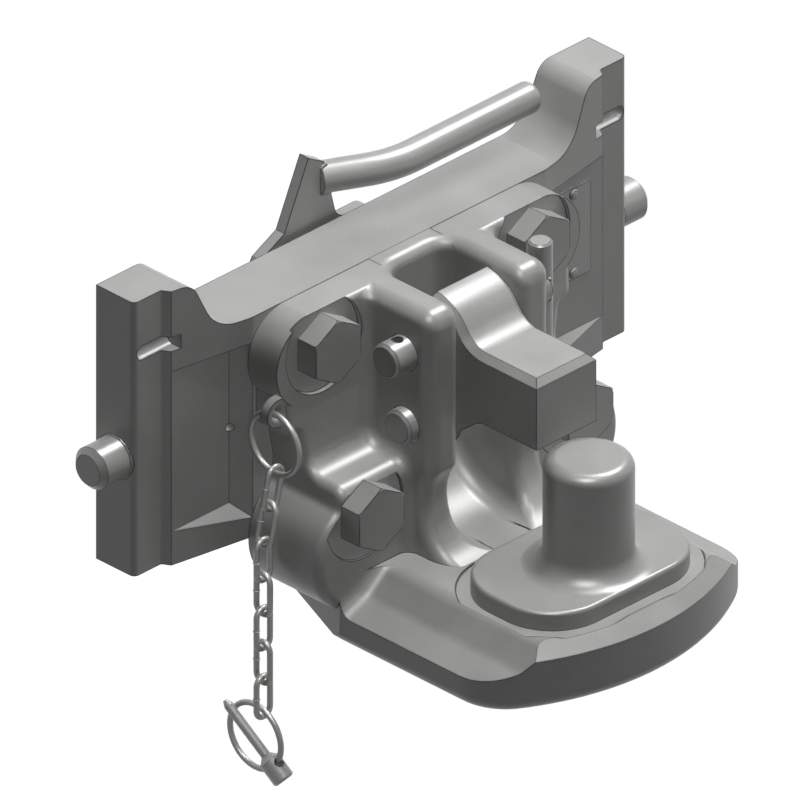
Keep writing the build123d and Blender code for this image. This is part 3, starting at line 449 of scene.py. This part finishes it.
def weld_bead_tree():
    """Tree that turns a path into a rippled bead."""
    tree = bpy.data.node_groups.new("weld_bead", "GeometryNodeTree")
    tree.interface.new_socket(name="Path", in_out="INPUT", socket_type="NodeSocketGeometry")
    inputs = {
        "Bead radius": new_tree_input(tree, "Bead radius", "NodeSocketFloat", 0.001),
        "Ripple pitch": new_tree_input(tree, "Ripple pitch", "NodeSocketFloat", 0.001),
        "Seed": new_tree_input(tree, "Seed", "NodeSocketInt", bead_seed),
        "Finish": new_tree_input(tree, "Finish", "NodeSocketMaterial", None),
    }
    tree.interface.new_socket(name="Bead", in_out="OUTPUT", socket_type="NodeSocketGeometry")
    given, made = tree.nodes.new("NodeGroupInput"), tree.nodes.new("NodeGroupOutput")
    link = tree.links.new

    curve = tree.nodes.new("GeometryNodeMeshToCurve")
    link(given.outputs["Path"], curve.inputs["Mesh"])
    points = tree.nodes.new("GeometryNodeCurveToPoints")
    points.mode = "LENGTH"
    link(curve.outputs["Curve"], points.inputs["Curve"])
    link(given.outputs["Ripple pitch"], points.inputs["Length"])

    ball = tree.nodes.new("GeometryNodeMeshUVSphere")
    ball.inputs["Segments"].default_value = ball_segments
    ball.inputs["Rings"].default_value = ball_rings
    link(given.outputs["Bead radius"], ball.inputs["Radius"])
    size = tree.nodes.new("FunctionNodeRandomValue")
    size.data_type = "FLOAT"
    size.inputs[2].default_value = ball_smallest
    size.inputs[3].default_value = ball_largest
    link(given.outputs["Seed"], size.inputs["Seed"])
    place = tree.nodes.new("GeometryNodeInstanceOnPoints")
    link(points.outputs["Points"], place.inputs["Points"])
    link(ball.outputs["Mesh"], place.inputs["Instance"])
    link(points.outputs["Rotation"], place.inputs["Rotation"])
    link(size.outputs[1], place.inputs["Scale"])

    ring = tree.nodes.new("GeometryNodeCurvePrimitiveCircle")
    ring.inputs["Resolution"].default_value = core_sides
    thin = tree.nodes.new("ShaderNodeMath")
    thin.operation = "MULTIPLY"
    thin.inputs[1].default_value = core_share
    link(given.outputs["Bead radius"], thin.inputs[0])
    link(thin.outputs[0], ring.inputs["Radius"])
    core = tree.nodes.new("GeometryNodeCurveToMesh")
    core.inputs["Fill Caps"].default_value = True
    link(curve.outputs["Curve"], core.inputs["Curve"])
    link(ring.outputs["Curve"], core.inputs["Profile Curve"])

    joined = tree.nodes.new("GeometryNodeJoinGeometry")
    link(place.outputs["Instances"], joined.inputs["Geometry"])
    link(core.outputs["Mesh"], joined.inputs["Geometry"])
    smooth = tree.nodes.new("GeometryNodeSetShadeSmooth")
    link(joined.outputs["Geometry"], smooth.inputs[0])
    real = tree.nodes.new("GeometryNodeRealizeInstances")
    link(smooth.outputs[0], real.inputs["Geometry"])
    finish = tree.nodes.new("GeometryNodeSetMaterial")
    link(real.outputs["Geometry"], finish.inputs["Geometry"])
    link(given.outputs["Finish"], finish.inputs["Material"])
    link(finish.outputs["Geometry"], made.inputs["Bead"])
    return tree, inputs


bead_tree, bead_inputs = weld_bead_tree()
print("weld bead inputs:", list(bead_inputs))

# %% [markdown]
# ## From path to plain mesh
# The path is a mesh of points and edges. The modifier is live only for a moment: the evaluated object is
# turned into a plain mesh, and the modifier goes before the piece is given to its body.

# %% Make a bead
def weld_bead(name, paths, radius, pitch, slot, body):
    """One piece with a bead along each path. A path is a list of points and whether it is closed."""
    path_mesh = bpy.data.meshes.new(name + "_path")
    points, edges = [], []
    for path, closed in paths:
        first = len(points)
        points += [tuple(point) for point in path]
        edges += [(first + i, first + i + 1) for i in range(len(path) - 1)]
        if closed:
            edges.append((len(points) - 1, first))
    path_mesh.from_pydata(points, edges, [])
    maker = add_piece(name, path_mesh)
    modifier = maker.modifiers.new("bead", "NODES")
    modifier.node_group = bead_tree
    values = {
        "Bead radius": radius,
        "Ripple pitch": pitch,
        "Seed": bead_seed,
        "Finish": finishes[slot],
    }
    for key, value in values.items():
        modifier[bead_inputs[key]] = value
    evaluated = maker.evaluated_get(bpy.context.evaluated_depsgraph_get())
    mesh = bpy.data.meshes.new_from_object(evaluated)
    maker.modifiers.remove(modifier)
    maker.data = mesh
    dress(maker, slot, body)
    return maker


def circle_path(center, first, second, radius, count):
    """Points on a circle in the plane of two unit vectors."""
    angles = [2 * pi * i / count for i in range(count)]
    return [center + first * radius * cos(a) + second * radius * sin(a) for a in angles]


print("identifiers:", list(bead_inputs.values()))

# %% [markdown]
# ## Where the fork is welded
# The fork is two pins with a bar welded across their right ends. The bar is thinner than the pins, so on
# each end face a bead runs down both of its sides.

# %% Fork welds
bar_x, bar_forward, bar_radius = 0.050, 0.0825, 0.006
pin_ends = {"upper": (0.082, 0.0205, 0.009), "lower": (0.083, -0.0183, 0.009)}
fork_bead_radius = 0.0013
fork_bead_pitch = 0.0009
fork_bead_inset = 0.6 * fork_bead_radius
widest_across = 0.9
half_steps = 6
fork_paths = []
for forward, height, radius in pin_ends.values():
    for side in (-1, 1):
        across = side * bar_radius + bar_forward - forward
        reach = (radius ** 2 - min(abs(across), radius * widest_across) ** 2) ** 0.5 - fork_bead_inset
        steps = range(2 * half_steps + 1)
        place = [Vector((bar_x, -forward - across, height + reach * (i / half_steps - 1))) for i in steps]
        fork_paths.append((place, False))
weld_bead("fork_welds", fork_paths, fork_bead_radius, fork_bead_pitch, "pin_steel", body_of["fork_bar"])
print("fork beads:", len(fork_paths))

# %% [markdown]
# ## Where the handle is welded
# The rod is notched over the edge of the lever's arm and welded all round. What shows of the seam is an
# open loop on each face of the arm: in from the edge, down past the rod's cut end, and out again.

# %% Handle welds
handle_bead_radius = 0.0011
handle_bead_pitch = 0.0010
arm_front, arm_rear = 0.0035, 0.0095
front_seam = [(-0.0079, 0.0748), (-0.0105, 0.0743), (-0.0108, 0.0670), (-0.0105, 0.0597), (-0.0046, 0.0590)]
rear_seam = [(-0.0075, 0.0712), (-0.0076, 0.0650), (-0.0075, 0.0597), (-0.0050, 0.0604)]
handle_paths = [
    ([Vector((x, arm_front, z)) for x, z in front_seam], False),
    ([Vector((x, arm_rear, z)) for x, z in rear_seam], False),
]
handle_body = body_of["handle_rod"]
weld_bead("handle_welds", handle_paths, handle_bead_radius, handle_bead_pitch, "pin_steel", handle_body)
print("handle beads:", len(handle_paths))

# %% [markdown]
# ## Where each link is closed
# A chain link is bent from wire and its ends are butted and welded in the middle of one side. The place
# follows from the link itself: a long flat loop spreads most along its length and next along its width,
# and the singular value decomposition of its points finds both directions.

# %% Link welds
wire_radius = 0.0015
link_half_width = 0.0045
link_bead_radius = 0.00035
link_bead_pitch = 0.00045
link_ring_radius = 0.98 * wire_radius
link_ring_points = 24
links = sorted(node for node in nodes if node.startswith("chain_link"))
for name in links:
    mesh = nodes[name].data
    points = np.empty(len(mesh.vertices) * 3, np.float32)
    mesh.vertices.foreach_get("co", points)
    points = points.reshape(-1, 3)
    middle = (points.min(axis=0) + points.max(axis=0)) / 2
    directions = np.linalg.svd(points - points.mean(axis=0), full_matrices=False)[2]
    along, across = Vector(directions[0].tolist()), Vector(directions[1].tolist())
    center = Vector(middle.tolist()) + across * link_half_width
    ring = circle_path(center, across, along.cross(across), link_ring_radius, link_ring_points)
    weld_bead(name + "_weld", [(ring, True)], link_bead_radius, link_bead_pitch, "zinc_wire", body_of[name])
print("link welds:", len(links))
